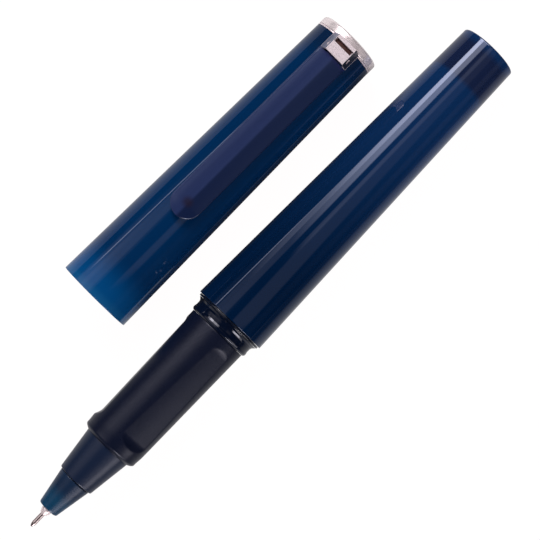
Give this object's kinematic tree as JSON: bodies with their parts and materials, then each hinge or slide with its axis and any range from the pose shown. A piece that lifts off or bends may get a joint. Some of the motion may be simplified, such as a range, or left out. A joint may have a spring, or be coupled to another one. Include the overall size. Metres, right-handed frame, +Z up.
{
  "type": "rollerball pen",
  "caption": "Rollerball pen with a translucent conical barrel, needle tip and matte finger grip, and its pulled-off cap with a clip lying beside it.",
  "frame": {"origin": "middle of the footprint of the pen and the cap together, on the surface they lie on", "axes": "+X along the pen towards its tail, +Y from the pen towards the cap lying beside it, +Z up"},
  "size_m": [0.1204, 0.0358, 0.0163],
  "materials": {
    "translucent_blue": "polished translucent resin",
    "smoke_plastic": "smoke blue, satin",
    "glossy_black": "glossy blue-black",
    "matte_grip": "matte",
    "refill_white": "moulded",
    "ink_fibre": "ink-soaked fibre",
    "spring_wire": "drawn wire",
    "tip_steel": "turned",
    "ball_steel": "polished",
    "polished_steel": "polished",
    "clip_violet": "glossy dark violet-blue"
  },
  "bodies": {
    "section": {"section_core": "glossy_black", "grip_sleeve": "matte_grip", "nose_cone": "smoke_plastic"},
    "collar": {"collar_ring": "glossy_black"},
    "barrel": {"barrel": "translucent_blue", "tail_plug": "smoke_plastic"},
    "refill": {"refill_tube": "refill_white", "ink_reservoir": "ink_fibre", "refill_end_plug": "refill_white", "refill_nose": "refill_white", "feed_wick": "ink_fibre", "tip_cone": "tip_steel", "needle_tube": "tip_steel", "writing_ball": "ball_steel", "refill_spring": "spring_wire"},
    "cap": {"cap_shell": "translucent_blue", "cap_liner": "smoke_plastic", "cap_top_ring": "polished_steel", "cap_top_plug": "smoke_plastic", "clip_bracket": "polished_steel", "clip_pin": "tip_steel"},
    "clip": {"clip_bar": "clip_violet"}
  },
  "joints": [
    {"name": "barrel_unscrew", "type": "hinge", "parent": "section", "child": "collar", "pos_m": [-0.00801, -0.01041, 0.00749], "axis": [0.9997, 0, -0.025], "range_deg": [0, 900]},
    {"name": "barrel_travel", "type": "slide", "parent": "collar", "child": "barrel", "axis": [0.9997, 0, -0.025], "range_m": [0, 0.00376]},
    {"name": "refill_push", "type": "slide", "parent": "section", "child": "refill", "axis": [0.9997, 0, -0.025], "range_m": [0, 0.001], "stiffness_N_per_m": 500, "springref_m": -0.001, "deforming": ["refill_spring"]},
    {"name": "cap_swing", "type": "hinge", "parent": "section", "child": "cap", "pos_m": [-0.04355, 0.0002, 0], "axis": [0.0207, -0.0002, 0.9998], "range_deg": [0, 181.09]},
    {"name": "clip_flex", "type": "hinge", "parent": "cap", "child": "clip", "pos_m": [0.03987, 0.00847, 0.01454], "axis": [0.0205, 0.9954, 0.0936], "range_deg": [0, 5], "stiffness_Nm_per_rad": 4}
  ],
  "couplings": [
    {"joint": "barrel_travel", "follows": "barrel_unscrew", "m_per_rad": 0.00023873}
  ]
}
